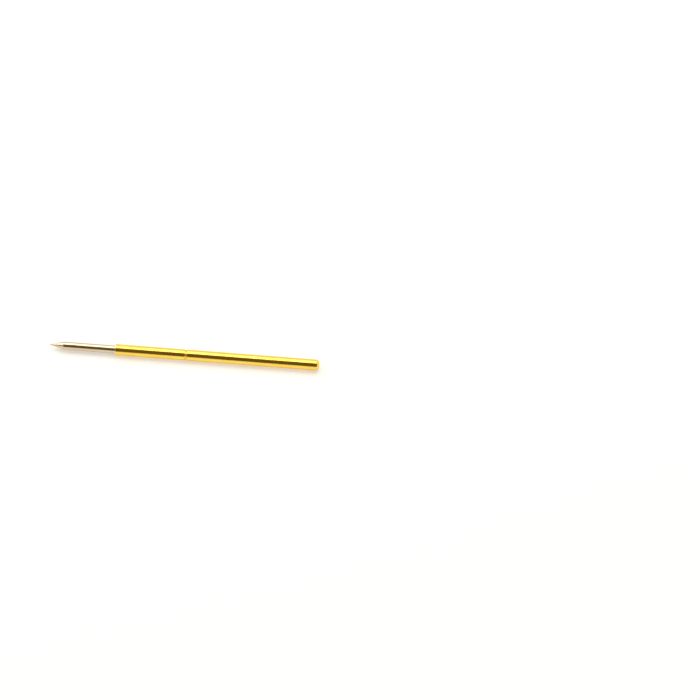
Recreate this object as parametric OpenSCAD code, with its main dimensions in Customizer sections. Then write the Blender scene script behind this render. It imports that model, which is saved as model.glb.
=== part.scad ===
// Spring-loaded test probe (pogo pin) for 2.54 mm centres, in millimetres.
// The axis of revolution lies along X. The origin is the centre of the barrel's mouth,
// the point is towards -X and the barrel's closed end is towards +X.

/* [Barrel] */
// Length of the barrel from its mouth to its closed end
barrel_length = 25.15; // [24:0.05:32]
// Outside diameter of the barrel
barrel_diameter = 1.36; // [1.2:0.01:1.6]
// Thickness of the barrel's wall, also at the crimp and the closed end
wall_thickness = 0.15; // [0.1:0.01:0.18]
// Outside radius where the closed end is spun over
tail_round = 0.46; // [0.4:0.01:0.55]
// Diameter of the vent hole in the closed end
vent_diameter = 0.42; // [0.2:0.01:0.6]
// Radius on both edges of the mouth's rim
mouth_round = 0.04; // [0.01:0.01:0.05]

/* [Crimp] */
// Distance from the mouth to the middle of the rolled groove
crimp_position = 8.7; // [7.5:0.1:9.5]
// Depth that the groove is rolled into the wall
crimp_depth = 0.1; // [0.08:0.01:0.12]
// Radius of the roller that forms the groove
crimp_radius = 0.14; // [0.12:0.01:0.25]
// Radius that blends the groove into the outside of the barrel
crimp_blend = 0.04; // [0.02:0.01:0.08]

/* [Plunger] */
// Distance from the mouth to the tip at rest
plunger_reach = 8.2; // [7:0.1:10]
// Stroke that the plunger can be pushed into the barrel
travel = 6.35; // [4:0.05:7]
// Included angle of the conical point
point_angle = 30; // [20:1:60]
// Radius of the very tip
tip_radius = 0.03; // [0.01:0.01:0.1]
// Length of the head behind the crimp
head_length = 1.6; // [1:0.1:2]
// Radius on the edges of the head and on the shaft's inner edge
head_round = 0.06; // [0.03:0.01:0.08]
// Fillet where the neck meets the shaft and the head
neck_fillet = 0.05; // [0.02:0.01:0.06]

/* [Spring] */
// Diameter of the spring wire
wire_diameter = 0.16; // [0.12:0.01:0.18]
// Number of active coils
active_coils = 36; // [28:1:38]
// Closed coils at each end
closed_coils = 1.5; // [1:0.5:2]
// Coils over which the pitch opens from closed to active
easing_coils = 1; // [0.5:0.5:2]

/* [Clearances] */
// Radial clearance between the plunger and the bore
running_clearance = 0.03; // [0.01:0.005:0.04]
// Radial clearance between the plunger's neck and the crimp
neck_clearance = 0.06; // [0.03:0.01:0.1]
// Radial clearance between the spring and the bore
spring_clearance = 0.04; // [0.03:0.01:0.06]
// Gap left between parts that rest against each other
contact_gap = 0.02; // [0.01:0.005:0.025]
// Stroke left before the shaft's inner edge would meet the crimp
end_margin = 0.15; // [0.05:0.05:0.5]
// Gap between neighbouring closed coils
coil_gap = 0.01; // [0.005:0.005:0.02]

/* [Hidden] */
$fn = 96;

// Overlap past a face so that a cut is clean
cut = 0.01;

// Radii of the barrel and its bore, and of the plunger's shaft and head that run in it
barrel_r = barrel_diameter / 2;
bore_r = barrel_r - wall_thickness;
plunger_r = bore_r - running_clearance;
bore_depth = barrel_length - wall_thickness;
tail_inner_round = tail_round - wall_thickness;

// The groove and the ridge inside it are arcs about one centre, one wall apart
crimp_centre_r = barrel_r - crimp_depth + crimp_radius;
ridge_radius = crimp_radius + wall_thickness;
ridge_r = crimp_centre_r - ridge_radius;
blend_centre_r = barrel_r - crimp_blend;
blend_offset = leg(crimp_radius + crimp_blend, crimp_centre_r - blend_centre_r);

// Distance along the axis from the crimp's middle to a rounded shoulder that stops against it
stop_offset = leg(ridge_radius + head_round + contact_gap, crimp_centre_r - plunger_r + head_round)
    - head_round;

// Stations along the plunger
neck_r = ridge_r - neck_clearance;
neck_front = crimp_position - stop_offset - end_margin - travel;
head_front = crimp_position + stop_offset;
head_back = head_front + head_length;
half_angle = point_angle / 2;
tip_centre = tip_radius - plunger_reach;
cone_apex = tip_centre - tip_radius / sin(half_angle);
cone_base = cone_apex + plunger_r / tan(half_angle);

// Spring, seated on the head in front and in the rounded closed end behind
wire_r = wire_diameter / 2;
coil_r = bore_r - spring_clearance - wire_r;
tail_centre_r = bore_r - tail_inner_round;
seat_offset = leg(tail_inner_round - wire_r - contact_gap, coil_r - tail_centre_r);
spring_front = head_back + contact_gap + wire_r;
spring_back = bore_depth - tail_inner_round + seat_offset;
all_coils = active_coils + 2 * closed_coils;
closing_starts = all_coils - closed_coils - easing_coils;
closed_pitch = wire_diameter + coil_gap;
extra_pitch = (spring_back - spring_front - all_coils * closed_pitch) / (active_coils - easing_coils);
rings_per_coil = 12;
wire_sides = 8;

// The other leg of a right triangle
function leg(hypotenuse, side) = sqrt(hypotenuse * hypotenuse - side * side);

// Lays a shape that was turned about Z along X
module along_x() {
    rotate([0, 90, 0]) children();
}

// What is cut away to round a corner whose material is towards -X and -Y of it
module corner_cut(radius) {
    difference() {
        translate([-radius, -radius]) square(radius + cut);
        translate([-radius, -radius]) circle(radius);
    }
}

// Half section of a plain round bar from the axis out, with its far edge rounded
module bar_section(radius, from, to, far_round) {
    difference() {
        translate([0, from]) square([radius, to - from]);
        translate([radius, to]) corner_cut(far_round);
    }
}

// Section of the rolled groove, with its two edges blended into the outside
module groove_section() {
    circle(crimp_radius);
    for (side = [0, 1]) mirror([0, side])
        difference() {
            polygon([
                [0, 0],
                [blend_centre_r - crimp_centre_r, blend_offset],
                [barrel_r - crimp_centre_r + cut, blend_offset],
                [barrel_r - crimp_centre_r + cut, 0]
            ]);
            translate([blend_centre_r - crimp_centre_r, blend_offset]) circle(crimp_blend);
        }
}

// Bore with the crimp's ridge standing in it and a rounded blind end
module bore_section() {
    difference() {
        bar_section(bore_r, -cut, bore_depth, tail_inner_round);
        translate([crimp_centre_r, crimp_position]) circle(ridge_radius);
    }
}

module barrel_section() {
    difference() {
        bar_section(barrel_r, 0, barrel_length, tail_round);
        bore_section();
        translate([crimp_centre_r, crimp_position]) groove_section();
        translate([0, bore_depth - tail_inner_round]) square([vent_diameter / 2, tail_round + cut]);
        translate([barrel_r, 0]) mirror([0, 1]) corner_cut(mouth_round);
        translate([bore_r, 0]) rotate(180) corner_cut(mouth_round);
    }
}

// Drawn tube with one rolled crimp that keeps the plunger in, and a spun end with a vent
module barrel() {
    color("gold") along_x() rotate_extrude() barrel_section();
}

// Conical point with its small tip radius
module point_section() {
    polygon([
        [0, tip_centre - tip_radius * sin(half_angle)],
        [tip_radius * cos(half_angle), tip_centre - tip_radius * sin(half_angle)],
        [plunger_r, cone_base],
        [0, cone_base]
    ]);
    intersection() {
        translate([0, tip_centre]) circle(tip_radius);
        translate([0, tip_centre - tip_radius]) square(2 * tip_radius);
    }
}

// Fillet in the inner corner between the neck and a shoulder towards +Y
module neck_fillet_section() {
    difference() {
        translate([-cut, -neck_fillet]) square([neck_fillet + cut, neck_fillet + cut]);
        translate([neck_fillet, -neck_fillet]) circle(neck_fillet);
    }
}

module plunger_section() {
    point_section();
    bar_section(plunger_r, cone_base, neck_front, head_round);
    translate([0, neck_front - cut]) square([neck_r, head_front - neck_front + 2 * cut]);
    translate([neck_r, neck_front]) mirror([0, 1]) neck_fillet_section();
    translate([neck_r, head_front]) neck_fillet_section();
    difference() {
        bar_section(plunger_r, head_front, head_back, head_round);
        translate([plunger_r, head_front]) mirror([0, 1]) corner_cut(head_round);
    }
}

// Turned plunger with a point, a shaft, a neck that clears the crimp and a retained head
module plunger() {
    color("silver") along_x() rotate_extrude() plunger_section();
}

// How far the pitch has opened, from 0 to 1, at a number of coils past where it starts to
function opened(coils) = min(max(coils / easing_coils, 0), 1);

// Sum of that opening over the coils so far
function opened_sum(coils) =
    coils < easing_coils ? opened(coils) * coils / 2 : coils - easing_coils / 2;

// Advance per coil at a number of coils along the spring
function coil_pitch(turn) = closed_pitch
    + extra_pitch * (opened(turn - closed_coils) - opened(turn - closing_starts));

// Place of the wire's centre along the axis at a number of coils along the spring
function coil_place(turn) = spring_front + closed_pitch * turn
    + extra_pitch * (opened_sum(turn - closed_coils) - opened_sum(turn - closing_starts));

// One point on the wire's surface, at an angle around the wire
function wire_point(turn, angle) =
    let (
        slope = atan(coil_pitch(turn) / (2 * PI * coil_r)),
        around = 360 * turn,
        out = coil_r + wire_r * cos(angle),
        up = wire_r * sin(angle)
    )
    [
        out * cos(around) + up * sin(slope) * sin(around),
        out * sin(around) - up * sin(slope) * cos(around),
        coil_place(turn) + up * cos(slope)
    ];

// Compression spring with closed ends, swept along its helix
module spring() {
    last_ring = round(all_coils * rings_per_coil);
    points = [
        for (ring = [0 : last_ring], side = [0 : wire_sides - 1])
            wire_point(ring / rings_per_coil, 360 * side / wire_sides)
    ];
    sides = [
        for (ring = [0 : last_ring - 1], side = [0 : wire_sides - 1])
            let (
                here = ring * wire_sides + side,
                beside = ring * wire_sides + (side + 1) % wire_sides
            )
            each [
                [here, beside, beside + wire_sides],
                [here, beside + wire_sides, here + wire_sides]
            ]
    ];
    first_end = [for (side = [wire_sides - 1 : -1 : 0]) side];
    last_end = [for (side = [0 : wire_sides - 1]) last_ring * wire_sides + side];
    color("gray") along_x() polyhedron(points, concat(sides, [first_end, last_end]));
}

barrel();
plunger();
spring();
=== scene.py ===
"""Pogo pin: a gold-plated barrel and a sprung nickel plunger, finished over their CAD frame."""

import math

import bmesh
import bpy
from bpy.props import FloatProperty, FloatVectorProperty, IntProperty, PointerProperty
from mathutils import Matrix, Vector


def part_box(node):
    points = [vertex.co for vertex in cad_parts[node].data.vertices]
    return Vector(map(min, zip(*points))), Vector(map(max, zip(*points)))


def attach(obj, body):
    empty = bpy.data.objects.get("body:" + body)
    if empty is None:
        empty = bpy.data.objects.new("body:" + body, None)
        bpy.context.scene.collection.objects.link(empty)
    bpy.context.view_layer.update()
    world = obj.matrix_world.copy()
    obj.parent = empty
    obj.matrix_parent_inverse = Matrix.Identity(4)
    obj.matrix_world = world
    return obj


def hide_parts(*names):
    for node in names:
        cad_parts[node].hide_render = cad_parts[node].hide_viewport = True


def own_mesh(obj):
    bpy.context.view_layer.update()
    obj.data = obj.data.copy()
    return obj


bl_info = {
    "name": "Pogo Pin",
    "version": (1, 0, 0),
    "blender": (4, 5, 0),
    "location": "3D View > Sidebar > Pogo Pin",
    "description": "Builds a spring-loaded test probe with its plating, its spring and a studio",
    "category": "Add Mesh",
}

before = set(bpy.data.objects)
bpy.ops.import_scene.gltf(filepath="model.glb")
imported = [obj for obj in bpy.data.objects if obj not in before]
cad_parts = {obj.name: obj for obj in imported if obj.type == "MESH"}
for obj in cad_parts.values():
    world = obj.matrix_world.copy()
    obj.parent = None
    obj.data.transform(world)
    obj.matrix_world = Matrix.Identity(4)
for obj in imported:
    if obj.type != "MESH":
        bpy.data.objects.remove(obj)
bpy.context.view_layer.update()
BARREL_LOW, BARREL_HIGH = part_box("barrel")
PLUNGER_LOW, PLUNGER_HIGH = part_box("plunger")
SPRING_LOW, SPRING_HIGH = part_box("spring")

# Sides of a turned piece, and the angle that one step of a rounded corner may turn
TURNED_SIDES = 128
CORNER_STEP = math.radians(7.5)
# Longest stretch of a turned piece between two rings
RING_SPACING = 0.0006
# Edges that turn by more than this stay sharp
SHARP_ANGLE = math.radians(12)
# Points closer than this are the same point
MERGE_DISTANCE = 1e-7

# Sides of the spring's wire, its rings in one coil, and the angle that it shades smooth up to
WIRE_SIDES = 12
STEPS_PER_COIL = 24
WIRE_SMOOTH_ANGLE = math.radians(40)
# Coils over which the pitch opens at each end, and the even stretches that they are made of
EASING_COILS = 1
EASING_STRETCHES = 4

# The soft panel stands off a point on the axis, past the pin's tip
PANEL_CENTRE = (-0.2, 0, 0)
PANEL_ELEVATION = math.radians(66)
PANEL_DISTANCE = 0.5
PANEL_WIDTH = 1.02
PANEL_HEIGHT = 0.445
# Distance of the dark cards
CARD_DISTANCE = 0.3
# Side of the floor, which is lit paper near the pin's mouth and turns plain white further off
FLOOR_SIZE = 1.6
PAPER_ENDS = 0.05
WHITE_STARTS = 0.12
PAPER_COLOUR = (0.93, 0.9, 0.85, 1)
# Tint of the reflection at the edge of every metal
EDGE_TINT = (0.9, 0.86, 0.78, 1)


# Sizes and colours that a user would change


class BarrelSizes(bpy.types.PropertyGroup):
    length: FloatProperty(
        name="Length",
        description="From the mouth to the closed end",
        default=BARREL_HIGH.x - BARREL_LOW.x,
        unit="LENGTH",
        precision=5,
    )
    diameter: FloatProperty(
        name="Diameter",
        description="Outside diameter of the tube",
        default=BARREL_HIGH.z - BARREL_LOW.z,
        unit="LENGTH",
        precision=5,
    )
    wall: FloatProperty(
        name="Wall",
        description="Thickness of the tube's wall, also at the groove and the closed end",
        default=0.00015,
        unit="LENGTH",
        precision=5,
    )
    mouth_round: FloatProperty(
        name="Mouth Round",
        description="Radius on both edges of the mouth's rim",
        default=0.00004,
        unit="LENGTH",
        precision=5,
    )
    tail_round: FloatProperty(
        name="Tail Round",
        description="Outside radius where the closed end is spun over",
        default=0.00046,
        unit="LENGTH",
        precision=5,
    )
    vent_diameter: FloatProperty(
        name="Vent Diameter",
        description="Diameter of the vent hole in the closed end",
        default=0.00042,
        unit="LENGTH",
        precision=5,
    )
    vent_break: FloatProperty(
        name="Vent Edge Break",
        description="Radius that takes the sharp edge off the vent hole",
        default=0.000008,
        unit="LENGTH",
        precision=6,
    )
    groove_position: FloatProperty(
        name="Groove Position",
        description="From the mouth to the middle of the rolled groove",
        default=0.0087,
        unit="LENGTH",
        precision=5,
    )
    groove_depth: FloatProperty(
        name="Groove Depth",
        description="Depth that the groove is rolled into the wall",
        default=0.0001,
        unit="LENGTH",
        precision=5,
    )
    groove_radius: FloatProperty(
        name="Groove Radius",
        description="Radius of the roller that forms the groove",
        default=0.00014,
        unit="LENGTH",
        precision=5,
    )
    groove_blend: FloatProperty(
        name="Groove Blend",
        description="Radius that blends the groove into the outside of the tube",
        default=0.00004,
        unit="LENGTH",
        precision=5,
    )


class PlungerSizes(bpy.types.PropertyGroup):
    tip: FloatProperty(
        name="Tip",
        description="Place of the tip along the axis at rest",
        default=PLUNGER_LOW.x,
        unit="LENGTH",
        precision=5,
    )
    diameter: FloatProperty(
        name="Diameter",
        description="Diameter of the shaft and the head",
        default=PLUNGER_HIGH.z - PLUNGER_LOW.z,
        unit="LENGTH",
        precision=5,
    )
    point_angle: FloatProperty(
        name="Point Angle",
        description="Included angle of the conical point",
        default=math.radians(30),
        subtype="ANGLE",
    )
    tip_radius: FloatProperty(
        name="Tip Radius",
        description="Radius of the very tip",
        default=0.00003,
        unit="LENGTH",
        precision=5,
    )
    shaft_end: FloatProperty(
        name="Shaft End",
        description="Place of the shaft's inner edge along the axis at rest",
        default=0.002018,
        unit="LENGTH",
        precision=6,
    )
    neck_diameter: FloatProperty(
        name="Neck Diameter",
        description="Diameter of the neck that passes the groove",
        default=0.00074,
        unit="LENGTH",
        precision=5,
    )
    neck_fillet: FloatProperty(
        name="Neck Fillet",
        description="Radius where the neck meets the shaft and the head",
        default=0.00005,
        unit="LENGTH",
        precision=5,
    )
    head_front: FloatProperty(
        name="Head Front",
        description="Place of the head's front face along the axis at rest",
        default=0.008882,
        unit="LENGTH",
        precision=6,
    )
    head_back: FloatProperty(
        name="Head Back",
        description="Place of the head's back face along the axis at rest",
        default=PLUNGER_HIGH.x,
        unit="LENGTH",
        precision=6,
    )
    head_round: FloatProperty(
        name="Head Round",
        description="Radius on the edges of the head and on the shaft's inner edge",
        default=0.00006,
        unit="LENGTH",
        precision=5,
    )


class SpringSizes(bpy.types.PropertyGroup):
    front: FloatProperty(
        name="Front",
        description="Place of the spring's front end along the axis at rest",
        default=SPRING_LOW.x,
        unit="LENGTH",
        precision=6,
    )
    back: FloatProperty(
        name="Back",
        description="Place of the spring's back end along the axis",
        default=SPRING_HIGH.x,
        unit="LENGTH",
        precision=6,
    )
    outside_diameter: FloatProperty(
        name="Outside Diameter",
        description="Diameter over the coils",
        default=SPRING_HIGH.z - SPRING_LOW.z,
        unit="LENGTH",
        precision=5,
    )
    wire_diameter: FloatProperty(
        name="Wire Diameter",
        description="Diameter of the spring wire",
        default=0.00016,
        unit="LENGTH",
        precision=5,
    )
    coil_gap: FloatProperty(
        name="Closed Coil Gap",
        description="Gap between neighbouring closed coils",
        default=0.00001,
        unit="LENGTH",
        precision=6,
    )
    active_coils: IntProperty(
        name="Active Coils",
        description="Number of active coils, with those over which the pitch opens",
        default=36,
        min=3,
    )
    closed_coils: FloatProperty(
        name="Closed Coils",
        description="Closed coils at each end",
        default=1.5,
    )


class Finishes(bpy.types.PropertyGroup):
    gold: FloatVectorProperty(
        name="Gold",
        description="Colour of the clean gold plating",
        default=(0.95, 0.67, 0.115),
        subtype="COLOR",
        min=0,
        max=1,
    )
    # Deep gold also paints the groove darker, besides the toned patches and specks
    deep_gold: FloatVectorProperty(
        name="Deep Gold",
        description="Colour of the gold plating where it has toned",
        default=(0.87, 0.55, 0.075),
        subtype="COLOR",
        min=0,
        max=1,
    )
    worn_gold: FloatVectorProperty(
        name="Worn Gold",
        description="Colour of rims where the gold has thinned over the nickel below",
        default=(0.93, 0.76, 0.34),
        subtype="COLOR",
        min=0,
        max=1,
    )
    nickel: FloatVectorProperty(
        name="Nickel",
        description="Colour of the clean nickel plating",
        default=(0.68, 0.565, 0.395),
        subtype="COLOR",
        min=0,
        max=1,
    )
    toned_nickel: FloatVectorProperty(
        name="Toned Nickel",
        description="Colour of the nickel plating where it has toned",
        default=(0.6, 0.475, 0.31),
        subtype="COLOR",
        min=0,
        max=1,
    )
    steel: FloatVectorProperty(
        name="Spring Steel",
        description="Colour of the drawn spring wire",
        default=(0.5, 0.48, 0.45),
        subtype="COLOR",
        min=0,
        max=1,
    )


class StudioSettings(bpy.types.PropertyGroup):
    target: FloatVectorProperty(
        name="Target",
        description="Point that the camera looks at",
        default=(0.028735, 0.002526, 0),
        subtype="TRANSLATION",
        precision=5,
    )
    distance: FloatProperty(
        name="Distance",
        description="From the camera to its target",
        default=0.36038,
        unit="LENGTH",
    )
    azimuth: FloatProperty(
        name="Azimuth",
        description="How far the camera stands round to the closed end's side",
        default=math.radians(3.2151),
        subtype="ANGLE",
    )
    elevation: FloatProperty(
        name="Elevation",
        description="How far the camera stands above the floor",
        default=math.radians(58.3893),
        subtype="ANGLE",
    )
    roll: FloatProperty(
        name="Roll",
        description="How far the camera is turned about its line of sight",
        default=math.radians(1.6675),
        subtype="ANGLE",
    )
    lens: FloatProperty(
        name="Lens",
        description="Focal length on a sensor 36 mm wide",
        default=150.417,
    )
    panel_power: FloatProperty(
        name="Panel Power",
        description="Power of the soft panel overhead",
        default=2.25,
        unit="POWER",
    )
    room_light: FloatProperty(
        name="Room Light",
        description="Strength of the light that comes from all round",
        default=0.4,
    )
    room_colour: FloatVectorProperty(
        name="Room Colour",
        description="Colour of the light that comes from all round",
        default=(1, 0.92, 0.82),
        subtype="COLOR",
        min=0,
        max=1,
    )
    floor_lift: FloatProperty(
        name="Floor Lift",
        description="White that the camera and reflections see added to the lit floor",
        default=0.365,
    )
    card_colour: FloatVectorProperty(
        name="Card Colour",
        description="Colour of the dark cards that the metal reflects",
        default=(0.13, 0.095, 0.045),
        subtype="COLOR",
        min=0,
        max=1,
    )


# Turned pieces: an outline drawn in the XY plane and spun about X


def arc(centre, radius, start, end):
    """Points of an arc in the XY plane, each as (x, y, corner radius)."""
    steps = math.ceil(abs(end - start) / CORNER_STEP)
    turns = [start + (end - start) * step / steps for step in range(steps + 1)]
    return [
        (centre[0] + radius * math.cos(turn), centre[1] + radius * math.sin(turn), 0)
        for turn in turns
    ]


def start_outline(place):
    """Adds a circle, merges it to one point at the place and stays in edit mode on it."""
    bpy.ops.object.select_all(action="DESELECT")
    bpy.ops.mesh.primitive_circle_add(vertices=3, radius=RING_SPACING, enter_editmode=True)
    bpy.ops.mesh.merge(type="CENTER")
    bpy.ops.transform.translate(value=(place[0], place[1], 0))


def extend_outline(here, there):
    """Extrudes the last point to the next one, in even steps."""
    steps = math.ceil(math.dist(here, there) / RING_SPACING)
    step = ((there[0] - here[0]) / steps, (there[1] - here[1]) / steps, 0)
    for _ in range(steps):
        bpy.ops.mesh.extrude_vertices_move(TRANSFORM_OT_translate={"value": step})


def select_points(*places):
    """Selects the outline's points at these places."""
    bpy.ops.mesh.select_all(action="DESELECT")
    mesh = bpy.context.object.data
    outline = bmesh.from_edit_mesh(mesh)
    for point in outline.verts:
        point.select = any(math.dist(point.co.xy, place) < MERGE_DISTANCE for place in places)
    outline.select_flush_mode()
    bmesh.update_edit_mesh(mesh)


def round_corner(before, corner, after, radius):
    """Bevels one corner of the outline to a radius."""
    coming = Vector(corner) - Vector(before)
    leaving = Vector(after) - Vector(corner)
    turn = coming.angle(leaving)
    select_points(corner)
    bpy.ops.mesh.bevel(
        affect="VERTICES",
        offset=radius * math.tan(turn / 2),
        segments=math.ceil(turn / CORNER_STEP),
        profile=0.5,
        clamp_overlap=False,
    )


def draw_outline(corners, closed):
    """Draws an outline through (x, y, corner radius) corners and rounds them."""
    places = [corner[:2] for corner in corners]
    start_outline(places[0])
    for here, there in zip(places, places[1:]):
        extend_outline(here, there)
    if closed:
        select_points(places[0], places[-1])
        bpy.ops.mesh.edge_face_add()
    for index, (x, y, radius) in enumerate(corners):
        if radius > 0:
            after = places[(index + 1) % len(places)]
            round_corner(places[index - 1], (x, y), after, radius)


def spin_outline():
    """Turns the outline about X into a closed skin that faces outwards."""
    bpy.ops.mesh.select_all(action="SELECT")
    bpy.ops.mesh.spin(
        steps=TURNED_SIDES,
        angle=2 * math.pi,
        center=(0, 0, 0),
        axis=(1, 0, 0),
        use_auto_merge=True,
    )
    bpy.ops.mesh.select_all(action="SELECT")
    bpy.ops.mesh.remove_doubles(threshold=MERGE_DISTANCE)
    bpy.ops.mesh.normals_make_consistent(inside=False)
    bpy.ops.object.mode_set(mode="OBJECT")


def shade_turned_piece():
    """Shades the piece smooth between its sharp edges, led by its broad faces."""
    bpy.ops.object.shade_smooth_by_angle(angle=SHARP_ANGLE)
    bpy.ops.object.modifier_add(type="WEIGHTED_NORMAL")
    modifier = bpy.context.object.modifiers[-1]
    modifier.keep_sharp = True
    bpy.ops.object.modifier_apply(modifier=modifier.name)


def turn_piece(name, corners, closed):
    """Makes a turned piece from the corners of its half section."""
    draw_outline(corners, closed)
    spin_outline()
    shade_turned_piece()
    piece = bpy.context.object
    piece.name = name
    return piece


# Half sections of the two turned pieces


def groove_points(sizes):
    """The rolled groove in the outside, with both edges blended, from front to back."""
    outside = sizes.diameter / 2
    middle = sizes.groove_position
    roller = (middle, outside - sizes.groove_depth + sizes.groove_radius)
    blend_height = outside - sizes.groove_blend
    reach = sizes.groove_radius + sizes.groove_blend
    lean = math.asin((roller[1] - blend_height) / reach)
    offset = reach * math.cos(lean)
    front = arc((middle - offset, blend_height), sizes.groove_blend, math.pi / 2, lean)
    rolled = arc(roller, sizes.groove_radius, math.pi + lean, 2 * math.pi - lean)
    back = arc((middle + offset, blend_height), sizes.groove_blend, math.pi - lean, math.pi / 2)
    return front + rolled[1:-1] + back


def ridge_points(sizes):
    """The ridge that the groove raises in the bore, from back to front."""
    outside = sizes.diameter / 2
    bore = outside - sizes.wall
    roller = (sizes.groove_position, outside - sizes.groove_depth + sizes.groove_radius)
    ridge_radius = sizes.groove_radius + sizes.wall
    lean = math.asin((roller[1] - bore) / ridge_radius)
    return arc(roller, ridge_radius, 2 * math.pi - lean, math.pi + lean)


def barrel_corners(sizes):
    """Half section of the barrel: along the outside to the closed end and back in the bore."""
    outside = sizes.diameter / 2
    bore = outside - sizes.wall
    vent = sizes.vent_diameter / 2
    inner_end = sizes.length - sizes.wall
    return [
        (0, bore, sizes.mouth_round),
        (0, outside, sizes.mouth_round),
        *groove_points(sizes),
        (sizes.length, outside, sizes.tail_round),
        (sizes.length, vent, sizes.vent_break),
        (inner_end, vent, sizes.vent_break),
        (inner_end, bore, sizes.tail_round - sizes.wall),
        *ridge_points(sizes),
    ]


def point_corners(sizes):
    """The rounded tip and the cone, from the axis to the shaft."""
    shaft = sizes.diameter / 2
    lean = sizes.point_angle / 2
    tip_centre = sizes.tip + sizes.tip_radius
    apex = tip_centre - sizes.tip_radius / math.sin(lean)
    tip = arc((tip_centre, 0), sizes.tip_radius, math.pi, math.pi / 2 + lean)
    return tip + [(apex + shaft / math.tan(lean), shaft, sizes.head_round)]


def plunger_corners(sizes):
    """Half section of the plunger: point, shaft, neck and head."""
    shaft = sizes.diameter / 2
    neck = sizes.neck_diameter / 2
    return point_corners(sizes) + [
        (sizes.shaft_end, shaft, sizes.head_round),
        (sizes.shaft_end, neck, sizes.neck_fillet),
        (sizes.head_front, neck, sizes.neck_fillet),
        (sizes.head_front, shaft, sizes.head_round),
        (sizes.head_back, shaft, sizes.head_round),
        (sizes.head_back, 0, 0),
    ]


# The coil spring: stretches of screwed wire, joined end to end


def spring_stretches(sizes):
    """Stretches of the spring from front to back, each as (coils, pitch)."""
    closed_pitch = sizes.wire_diameter + sizes.coil_gap
    all_coils = sizes.active_coils + 2 * sizes.closed_coils
    centre_length = sizes.back - sizes.front - sizes.wire_diameter
    extra = (centre_length - all_coils * closed_pitch) / (sizes.active_coils - EASING_COILS)
    opening = [
        (EASING_COILS / EASING_STRETCHES, closed_pitch + extra * (step + 0.5) / EASING_STRETCHES)
        for step in range(EASING_STRETCHES)
    ]
    return [
        (sizes.closed_coils, closed_pitch),
        *opening,
        (sizes.active_coils - 2 * EASING_COILS, closed_pitch + extra),
        *reversed(opening),
        (sizes.closed_coils, closed_pitch),
    ]


def screw_wire(coils, pitch):
    """Screws the selected ring of wire about X and keeps the result."""
    bpy.ops.object.modifier_add(type="SCREW")
    modifier = bpy.context.object.modifiers[-1]
    modifier.axis = "X"
    modifier.angle = 2 * math.pi * coils
    modifier.screw_offset = pitch * coils
    modifier.steps = round(STEPS_PER_COIL * coils)
    modifier.render_steps = modifier.steps
    modifier.merge_threshold = MERGE_DISTANCE
    modifier.use_smooth_shade = True
    bpy.ops.object.modifier_apply(modifier=modifier.name)


def wire_stretch(sizes, coils, pitch, place, turned):
    """Makes one stretch of coiled wire that starts at a place along X, turned about X."""
    bpy.ops.object.select_all(action="DESELECT")
    coil_radius = (sizes.outside_diameter - sizes.wire_diameter) / 2
    bpy.ops.mesh.primitive_circle_add(
        vertices=WIRE_SIDES,
        radius=sizes.wire_diameter / 2,
        location=(0, coil_radius, 0),
    )
    bpy.ops.object.transform_apply()
    screw_wire(coils, pitch)
    stretch = bpy.context.object
    stretch.location.x = place
    stretch.rotation_euler.x = 2 * math.pi * turned
    bpy.ops.object.transform_apply()
    return stretch


def join_wire(stretches):
    """Joins the stretches into one wire with closed ends that faces outwards."""
    bpy.ops.object.select_all(action="DESELECT")
    for stretch in stretches:
        stretch.select_set(True)
    bpy.context.view_layer.objects.active = stretches[0]
    bpy.ops.object.join()
    bpy.ops.object.mode_set(mode="EDIT")
    bpy.ops.mesh.select_all(action="SELECT")
    bpy.ops.mesh.remove_doubles(threshold=MERGE_DISTANCE)
    bpy.ops.mesh.select_all(action="SELECT")
    bpy.ops.mesh.fill_holes(sides=WIRE_SIDES)
    bpy.ops.mesh.normals_make_consistent(inside=False)
    bpy.ops.object.mode_set(mode="OBJECT")
    bpy.ops.object.shade_smooth_by_angle(angle=WIRE_SMOOTH_ANGLE)


def coil_spring(sizes):
    """Makes the whole spring, closed at both ends."""
    place = sizes.front + sizes.wire_diameter / 2
    turned = 0
    stretches = []
    for coils, pitch in spring_stretches(sizes):
        stretches.append(wire_stretch(sizes, coils, pitch, place, turned))
        place += coils * pitch
        turned += coils
    join_wire(stretches)
    spring = bpy.context.object
    spring.name = "coil_spring"
    return spring


# Shader building blocks


def add_node(tree, kind, inputs=None, **settings):
    """Adds a node. Each input is given its value, or the socket that feeds it."""
    node = tree.nodes.new(kind)
    for name, value in settings.items():
        setattr(node, name, value)
    for name, value in (inputs or {}).items():
        if isinstance(value, bpy.types.NodeSocket):
            tree.links.new(value, node.inputs[name])
        else:
            node.inputs[name].default_value = value
    return node


def add_maths(tree, operation, first, second=0.0):
    """Adds a maths node and gives its result."""
    return add_node(tree, "ShaderNodeMath", {0: first, 1: second}, operation=operation).outputs[0]


def scaled(tree, value, factor):
    """A value times a plain number."""
    return add_maths(tree, "MULTIPLY", value, factor)


def add_range(tree, value, from_low, from_high, to_low, to_high):
    """Maps a value from one range to another, clamped."""
    inputs = {
        "Value": value,
        "From Min": from_low,
        "From Max": from_high,
        "To Min": to_low,
        "To Max": to_high,
    }
    return add_node(tree, "ShaderNodeMapRange", inputs).outputs["Result"]


def blend_colours(tree, share, first, second):
    """Mixes two colours by a share from 0 to 1."""
    # A Mix node repeats its socket names for each kind of data, so its colours go by number
    inputs = {0: share, 6: opaque(first), 7: opaque(second)}
    return add_node(tree, "ShaderNodeMix", inputs, data_type="RGBA").outputs[2]


def opaque(colour):
    """A plain colour with its alpha, or the socket as it is."""
    return colour if isinstance(colour, bpy.types.NodeSocket) else (*colour, 1)


def tint(tree, colour, over, mask, share):
    """Lays a colour over another where the mask is set, at most by the share."""
    return blend_colours(tree, scaled(tree, mask, share), colour, over)


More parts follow.
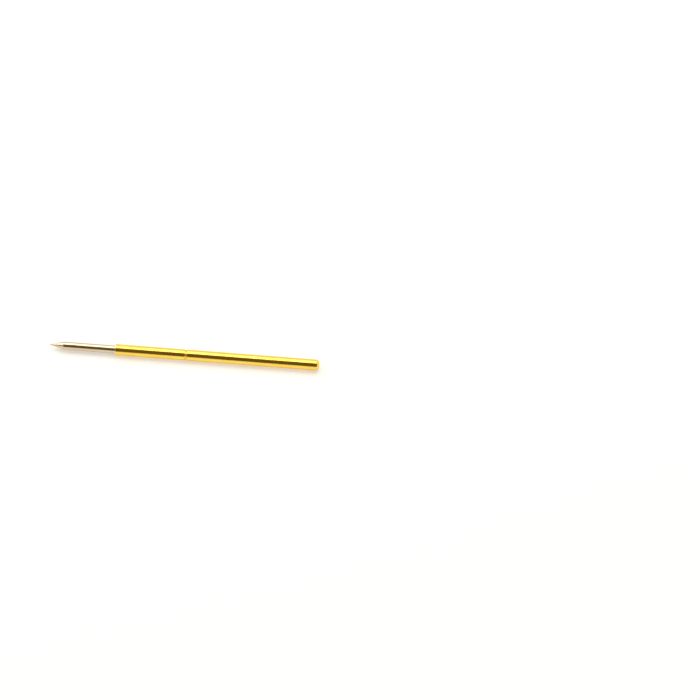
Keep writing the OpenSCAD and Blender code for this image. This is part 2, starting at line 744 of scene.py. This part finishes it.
def new_group(name, inputs, outputs):
    """Starts a node group with named value sockets and gives its tree and both ends."""
    tree = bpy.data.node_groups.new(name, "ShaderNodeTree")
    for socket, value in inputs.items():
        made = tree.interface.new_socket(socket, in_out="INPUT", socket_type="NodeSocketFloat")
        made.default_value = value
    for socket in outputs:
        tree.interface.new_socket(socket, in_out="OUTPUT", socket_type="NodeSocketFloat")
    start = tree.nodes.new("NodeGroupInput")
    end = tree.nodes.new("NodeGroupOutput")
    return tree, start.outputs, end.inputs


def object_place(tree):
    """Object coordinates, split into x, y and z."""
    place = add_node(tree, "ShaderNodeTexCoord").outputs["Object"]
    return add_node(tree, "ShaderNodeSeparateXYZ", {0: place}).outputs


def drawn_streaks_group():
    """Fine lines along X, as a draw die leaves them."""
    tree, given, result = new_group(
        "drawn_streaks", {"Length": 0.004, "Width": 0.00006}, ["Streaks"]
    )
    x, y, z = object_place(tree)
    along = add_maths(tree, "DIVIDE", x, given["Length"])
    across = add_maths(tree, "DIVIDE", y, given["Width"])
    upward = add_maths(tree, "DIVIDE", z, given["Width"])
    place = add_node(tree, "ShaderNodeCombineXYZ", {0: along, 1: across, 2: upward})
    inputs = {"Vector": place.outputs[0], "Scale": 1.0, "Detail": 3.0, "Roughness": 0.6}
    streaks = add_node(tree, "ShaderNodeTexNoise", inputs).outputs["Fac"]
    tree.links.new(add_range(tree, streaks, 0.3, 0.7, 0.0, 1.0), result["Streaks"])
    return tree


def turning_rings_group():
    """Uneven rings round X, as a lathe tool leaves them."""
    tree, given, result = new_group("turning_rings", {"Pitch": 0.00008}, ["Rings"])
    along = add_maths(tree, "DIVIDE", object_place(tree)[0], given["Pitch"])
    inputs = {"W": along, "Scale": 1.0, "Detail": 2.0, "Roughness": 0.7}
    rings = add_node(tree, "ShaderNodeTexNoise", inputs, noise_dimensions="1D").outputs["Fac"]
    tree.links.new(add_range(tree, rings, 0.25, 0.75, 0.0, 1.0), result["Rings"])
    return tree


def handling_marks_group():
    """Soft uneven patches and fine specks, where a surface has toned and been handled."""
    tree, given, result = new_group("handling_marks", {"Size": 0.0015}, ["Patches", "Specks"])
    place = add_node(tree, "ShaderNodeTexCoord").outputs["Object"]
    scale = add_maths(tree, "DIVIDE", 1.0, given["Size"])
    inputs = {"Vector": place, "Scale": scale, "Detail": 4.0, "Roughness": 0.55}
    patches = add_node(tree, "ShaderNodeTexNoise", inputs).outputs["Fac"]
    tree.links.new(add_range(tree, patches, 0.35, 0.68, 0.0, 1.0), result["Patches"])
    fine_scale = add_maths(tree, "MULTIPLY", scale, 14.0)
    inputs = {"Vector": place, "Scale": fine_scale, "Detail": 2.0}
    specks = add_node(tree, "ShaderNodeTexNoise", inputs).outputs["Fac"]
    tree.links.new(add_range(tree, specks, 0.62, 0.74, 0.0, 1.0), result["Specks"])
    return tree


def band_group():
    """1 in a band round X and 0 away from it, with soft edges."""
    tree, given, result = new_group(
        "band_round_axis", {"Centre": 0.0, "Half Width": 0.0001, "Fade": 0.00005}, ["Band"]
    )
    x = object_place(tree)[0]
    away = add_maths(tree, "ABSOLUTE", add_maths(tree, "SUBTRACT", x, given["Centre"]))
    past = add_maths(tree, "SUBTRACT", away, given["Half Width"])
    faded = add_maths(tree, "DIVIDE", past, given["Fade"])
    tree.links.new(add_range(tree, faded, 0.0, 1.0, 1.0, 0.0), result["Band"])
    return tree


def place_group(tree, group, values):
    """Places a node group in a material with its own values and gives its outputs."""
    node = tree.nodes.new("ShaderNodeGroup")
    node.node_tree = group
    for name, value in values.items():
        node.inputs[name].default_value = value
    return node.outputs


def shared_group(name, build):
    """The group of that name, built the first time it is asked for."""
    return bpy.data.node_groups.get(name) or build()


def drawn_streaks(tree, length, width):
    """Places drawn lines of this length and width."""
    group = shared_group("drawn_streaks", drawn_streaks_group)
    return place_group(tree, group, {"Length": length, "Width": width})["Streaks"]


def turning_rings(tree, pitch):
    """Places turned rings of this pitch."""
    group = shared_group("turning_rings", turning_rings_group)
    return place_group(tree, group, {"Pitch": pitch})["Rings"]


def handling_marks(tree, size):
    """Places patches of this size and the specks between them."""
    group = shared_group("handling_marks", handling_marks_group)
    marks = place_group(tree, group, {"Size": size})
    return marks["Patches"], marks["Specks"]


def band(tree, centre, half_width, fade):
    """Places a band round X at a place along it."""
    group = shared_group("band_round_axis", band_group)
    values = {"Centre": centre, "Half Width": half_width, "Fade": fade}
    return place_group(tree, group, values)["Band"]


def new_metal(name):
    """Starts a metal and gives its material, its tree and its surface shader."""
    material = bpy.data.materials.new(name)
    material.use_nodes = True
    tree = material.node_tree
    surface = tree.nodes["Principled BSDF"]
    surface.inputs["Metallic"].default_value = 1.0
    surface.inputs["Specular Tint"].default_value = EDGE_TINT
    return material, tree, surface


def dull_surface(tree, surface, dulled, most, roughness):
    """Feeds the surface's roughness, from its low to its high as it is dulled up to the most."""
    low, high = roughness
    spread = add_range(tree, dulled, 0.0, most, low, high)
    tree.links.new(spread, surface.inputs["Roughness"])


def raise_surface(tree, surface, height, distance):
    """Feeds a height to the surface's normal."""
    bump = add_node(tree, "ShaderNodeBump", {"Height": height, "Distance": distance})
    tree.links.new(bump.outputs["Normal"], surface.inputs["Normal"])


# The three finishes


def gold_plating(colours, sizes):
    """Bright gold over a drawn tube: toned patches, a groove painted darker, drawn lines, worn rims
    and a spun end.
    """
    material, tree, surface = new_metal("gold_plating")
    patches, specks = handling_marks(tree, size=0.0016)
    streaks = drawn_streaks(tree, length=0.012, width=0.00007)
    rings = turning_rings(tree, pitch=0.00007)
    rim = band(tree, centre=0.0, half_width=0.00003, fade=0.00005)
    groove = band(tree, centre=sizes.groove_position, half_width=0.00009, fade=0.00008)
    tail = band(tree, centre=sizes.length, half_width=sizes.tail_round * 0.8, fade=0.00012)
    colour = tint(tree, colours.gold, colours.deep_gold, mask=patches, share=0.55)
    # The groove is painted darker, towards the deep gold, by at most 0.8
    colour = tint(tree, colour, colours.deep_gold, mask=groove, share=0.8)
    colour = tint(tree, colour, colours.worn_gold, mask=rim, share=0.7)
    colour = tint(tree, colour, colours.deep_gold, mask=specks, share=0.35)
    tree.links.new(colour, surface.inputs["Base Color"])
    dulled = scaled(tree, add_maths(tree, "ADD", patches, streaks), 0.5)
    spun = add_maths(tree, "MULTIPLY", tail, rings)
    dulled = add_maths(tree, "ADD", dulled, scaled(tree, spun, 0.7))
    dull_surface(tree, surface, dulled, most=1.5, roughness=(0.11, 0.27))
    height = add_maths(tree, "ADD", streaks, scaled(tree, spun, 2.0))
    height = add_maths(tree, "SUBTRACT", height, specks)
    raise_surface(tree, surface, height, distance=4e-8)
    return material


def nickel_plating(colours, sizes):
    """Nickel over a turned pin: rings on the cone, lengthwise slide marks and a worn tip."""
    material, tree, surface = new_metal("nickel_plating")
    patches, specks = handling_marks(tree, size=0.0012)
    streaks = drawn_streaks(tree, length=0.009, width=0.00005)
    rings = turning_rings(tree, pitch=0.00006)
    cone_length = sizes.diameter / 2 / math.tan(sizes.point_angle / 2)
    cone = band(tree, centre=sizes.tip, half_width=cone_length, fade=0.00006)
    tip = band(tree, centre=sizes.tip, half_width=0.00012, fade=0.0004)
    colour = tint(tree, colours.nickel, colours.toned_nickel, mask=patches, share=0.5)
    colour = tint(tree, colour, colours.toned_nickel, mask=tip, share=0.6)
    colour = tint(tree, colour, colours.toned_nickel, mask=specks, share=0.4)
    tree.links.new(colour, surface.inputs["Base Color"])
    turned = add_maths(tree, "MULTIPLY", cone, rings)
    dulled = add_maths(tree, "ADD", scaled(tree, patches, 0.6), turned)
    dulled = add_maths(tree, "ADD", dulled, scaled(tree, streaks, 0.4))
    dull_surface(tree, surface, dulled, most=2.0, roughness=(0.12, 0.3))
    shaft = add_maths(tree, "SUBTRACT", 1.0, cone)
    slid = add_maths(tree, "MULTIPLY", shaft, streaks)
    height = add_maths(tree, "ADD", scaled(tree, turned, 1.5), slid)
    raise_surface(tree, surface, height, distance=5e-8)
    return material


def spring_wire(colours):
    """Drawn spring steel: grey, a little uneven, with fine specks."""
    material, tree, surface = new_metal("spring_wire")
    patches, specks = handling_marks(tree, size=0.0004)
    dark = tuple(part * 0.7 for part in colours.steel)
    marked = add_maths(tree, "MAXIMUM", scaled(tree, patches, 0.6), specks)
    tree.links.new(blend_colours(tree, marked, colours.steel, dark), surface.inputs["Base Color"])
    dull_surface(tree, surface, patches, most=1.0, roughness=(0.25, 0.4))
    raise_surface(tree, surface, specks, distance=6e-7)
    return material


# The studio


def towards(azimuth, elevation):
    """Direction from the pin to something round it, from azimuth 0 on the camera's side."""
    level = math.cos(elevation)
    return Vector((math.sin(azimuth) * level, -math.cos(azimuth) * level, math.sin(elevation)))


def facing(direction):
    """Rotation of something that stands in that direction and faces the pin."""
    return (-direction).to_track_quat("-Z", "Y").to_euler()


def place_camera(studio):
    """Stands the camera off its target, turned, raised and rolled."""
    turned = Matrix.Rotation(studio.azimuth, 4, "Z")
    raised = Matrix.Rotation(math.pi / 2 - studio.elevation, 4, "X")
    rolled = Matrix.Rotation(studio.roll, 4, "Z")
    back = towards(studio.azimuth, studio.elevation)
    bpy.ops.object.camera_add(
        location=Vector(studio.target) + back * studio.distance,
        rotation=(turned @ raised @ rolled).to_euler(),
    )
    camera = bpy.context.object
    camera.name = "camera"
    camera.data.sensor_width = 36
    camera.data.lens = studio.lens
    camera.data.clip_start = 0.01
    bpy.context.scene.camera = camera


def place_panel(studio):
    """A soft panel behind the pin, from straight above it about halfway down to the floor."""
    direction = towards(math.pi, PANEL_ELEVATION)
    bpy.ops.object.light_add(
        type="AREA",
        location=Vector(PANEL_CENTRE) + direction * PANEL_DISTANCE,
        rotation=facing(direction),
    )
    panel = bpy.context.object
    panel.name = "soft_panel"
    panel.data.shape = "RECTANGLE"
    panel.data.size = PANEL_WIDTH
    panel.data.size_y = PANEL_HEIGHT
    panel.data.energy = studio.panel_power


def card_material(studio):
    """A dark card that shows one colour in reflections."""
    material = bpy.data.materials.new("dark_card")
    material.use_nodes = True
    tree = material.node_tree
    tree.nodes.clear()
    colour = add_node(tree, "ShaderNodeEmission", {"Color": (*studio.card_colour, 1)})
    add_node(tree, "ShaderNodeOutputMaterial", {"Surface": colour.outputs[0]})
    return material


def place_card(name, material, direction, centre, width, height):
    """A dark card that only reflections see, for the dark line along a polished round bar."""
    bpy.ops.object.select_all(action="DESELECT")
    bpy.ops.mesh.primitive_plane_add(
        size=1,
        location=Vector(centre) + direction * CARD_DISTANCE,
        rotation=facing(direction),
    )
    card = bpy.context.object
    card.name = name
    card.scale = (width, height, 1)
    bpy.ops.object.transform_apply()
    card.data.materials.append(material)
    card.visible_camera = False
    card.visible_diffuse = False
    card.visible_transmission = False
    card.visible_shadow = False


def place_cards(studio):
    """A card above the camera's side, and one past the point for views from the other end."""
    material = card_material(studio)
    camera_side = towards(0, math.radians(55))
    place_card("camera_card", material, camera_side, centre=(0.18, 0, 0), width=0.6, height=0.47)
    past_point = towards(math.radians(-58), math.radians(28))
    place_card("point_card", material, past_point, centre=(0, 0, 0), width=0.12, height=0.2)


def seen_directly(tree):
    """1 for rays from the camera and from reflections and glass, 0 for soft light."""
    path = add_node(tree, "ShaderNodeLightPath").outputs
    seen = add_maths(tree, "MAXIMUM", path["Is Camera Ray"], path["Is Glossy Ray"])
    return add_maths(tree, "MAXIMUM", seen, path["Is Transmission Ray"])


def floor_material(studio):
    """Paper that keeps the pin's shadow, lifted to white, and is plain white further off."""
    material = bpy.data.materials.new("floor_paper")
    material.use_nodes = True
    tree = material.node_tree
    tree.nodes.clear()
    place = add_node(tree, "ShaderNodeTexCoord").outputs["Object"]
    away = add_node(tree, "ShaderNodeVectorMath", {0: place}, operation="LENGTH").outputs["Value"]
    far = add_range(tree, away, PAPER_ENDS, WHITE_STARTS, 0.0, 1.0)
    seen = seen_directly(tree)
    paper = add_node(tree, "ShaderNodeBsdfDiffuse", {"Color": PAPER_COLOUR})
    lift = add_node(tree, "ShaderNodeEmission", {"Strength": scaled(tree, seen, studio.floor_lift)})
    near = add_node(tree, "ShaderNodeAddShader", {0: paper.outputs[0], 1: lift.outputs[0]})
    white = add_node(tree, "ShaderNodeEmission", {"Strength": 1.0})
    share = add_maths(tree, "MULTIPLY", far, seen)
    floor = add_node(
        tree, "ShaderNodeMixShader", {0: share, 1: near.outputs[0], 2: white.outputs[0]}
    )
    add_node(tree, "ShaderNodeOutputMaterial", {"Surface": floor.outputs[0]})
    return material


def lay_floor(studio):
    """The sheet that the pin lies on, level with the underside of the barrel."""
    bpy.ops.object.select_all(action="DESELECT")
    bpy.ops.mesh.primitive_plane_add(size=FLOOR_SIZE, location=(0, 0, BARREL_LOW.z))
    floor = bpy.context.object
    floor.name = "floor"
    bpy.ops.object.transform_apply()
    floor.data.materials.append(floor_material(studio))


def light_room(studio):
    """A white room to the camera and in reflections, and a weaker warm light otherwise."""
    world = bpy.data.worlds.new("white_room")
    world.use_nodes = True
    tree = world.node_tree
    tree.nodes.clear()
    seen = seen_directly(tree)
    strength = add_range(tree, seen, 0.0, 1.0, studio.room_light, 1.0)
    colour = blend_colours(tree, seen, studio.room_colour, (1, 1, 1))
    light = add_node(tree, "ShaderNodeBackground", {"Color": colour, "Strength": strength})
    add_node(tree, "ShaderNodeOutputWorld", {"Surface": light.outputs[0]})
    bpy.context.scene.world = world


# Operators and panel


class POGO_OT_barrel(bpy.types.Operator):
    """Make the gold-plated barrel with its groove and its spun end"""

    bl_idname = "pogo_pin.barrel"
    bl_label = "Barrel"

    def execute(self, context):
        sizes = context.scene.pogo_barrel
        barrel = turn_piece("barrel_shell", barrel_corners(sizes), closed=True)
        barrel.data.materials.append(gold_plating(context.scene.pogo_finishes, sizes))
        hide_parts("barrel")
        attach(barrel, "barrel")
        return {"FINISHED"}


class POGO_OT_plunger(bpy.types.Operator):
    """Make the nickel-plated plunger with its point, neck and head"""

    bl_idname = "pogo_pin.plunger"
    bl_label = "Plunger"

    def execute(self, context):
        sizes = context.scene.pogo_plunger
        plunger = turn_piece("plunger_pin", plunger_corners(sizes), closed=False)
        plunger.data.materials.append(nickel_plating(context.scene.pogo_finishes, sizes))
        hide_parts("plunger")
        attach(plunger, "plunger")
        return {"FINISHED"}


class POGO_OT_spring(bpy.types.Operator):
    """Make the coil spring, with closed coils at each end"""

    bl_idname = "pogo_pin.spring"
    bl_label = "Spring"

    def execute(self, context):
        sizes = context.scene.pogo_spring
        spring = coil_spring(sizes)
        spring.data.materials.append(spring_wire(context.scene.pogo_finishes))
        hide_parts("spring")
        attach(spring, "barrel")
        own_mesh(spring)
        return {"FINISHED"}


class POGO_OT_studio(bpy.types.Operator):
    """Set the camera, the lights, the dark cards and the floor"""

    bl_idname = "pogo_pin.studio"
    bl_label = "Studio"

    def execute(self, context):
        studio = context.scene.pogo_studio
        context.scene.view_settings.view_transform = "Standard"
        place_camera(studio)
        place_panel(studio)
        place_cards(studio)
        lay_floor(studio)
        light_room(studio)
        return {"FINISHED"}


class POGO_PT_sidebar(bpy.types.Panel):
    """Lists the pieces and their sizes in the 3D view's sidebar"""

    bl_label = "Pogo Pin"
    bl_space_type = "VIEW_3D"
    bl_region_type = "UI"
    bl_category = "Pogo Pin"

    def draw(self, context):
        scene = context.scene
        for operator, settings in (
            ("pogo_pin.barrel", scene.pogo_barrel),
            ("pogo_pin.plunger", scene.pogo_plunger),
            ("pogo_pin.spring", scene.pogo_spring),
            ("pogo_pin.studio", scene.pogo_studio),
        ):
            box = self.layout.box()
            box.operator(operator)
            for name in settings.__annotations__:
                box.prop(settings, name)
        box = self.layout.box()
        for name in scene.pogo_finishes.__annotations__:
            box.prop(scene.pogo_finishes, name)


CLASSES = (
    BarrelSizes,
    PlungerSizes,
    SpringSizes,
    Finishes,
    StudioSettings,
    POGO_OT_barrel,
    POGO_OT_plunger,
    POGO_OT_spring,
    POGO_OT_studio,
    POGO_PT_sidebar,
)


def register():
    for cls in CLASSES:
        bpy.utils.register_class(cls)
    bpy.types.Scene.pogo_barrel = PointerProperty(type=BarrelSizes)
    bpy.types.Scene.pogo_plunger = PointerProperty(type=PlungerSizes)
    bpy.types.Scene.pogo_spring = PointerProperty(type=SpringSizes)
    bpy.types.Scene.pogo_finishes = PointerProperty(type=Finishes)
    bpy.types.Scene.pogo_studio = PointerProperty(type=StudioSettings)


def unregister():
    del bpy.types.Scene.pogo_studio
    del bpy.types.Scene.pogo_finishes
    del bpy.types.Scene.pogo_spring
    del bpy.types.Scene.pogo_plunger
    del bpy.types.Scene.pogo_barrel
    for cls in reversed(CLASSES):
        bpy.utils.unregister_class(cls)


def main():
    """Registers the add-on and builds the stage and the three pieces."""
    register()
    bpy.ops.pogo_pin.studio()
    bpy.ops.pogo_pin.barrel()
    bpy.ops.pogo_pin.plunger()
    bpy.ops.pogo_pin.spring()


if __name__ == "__main__":
    main()
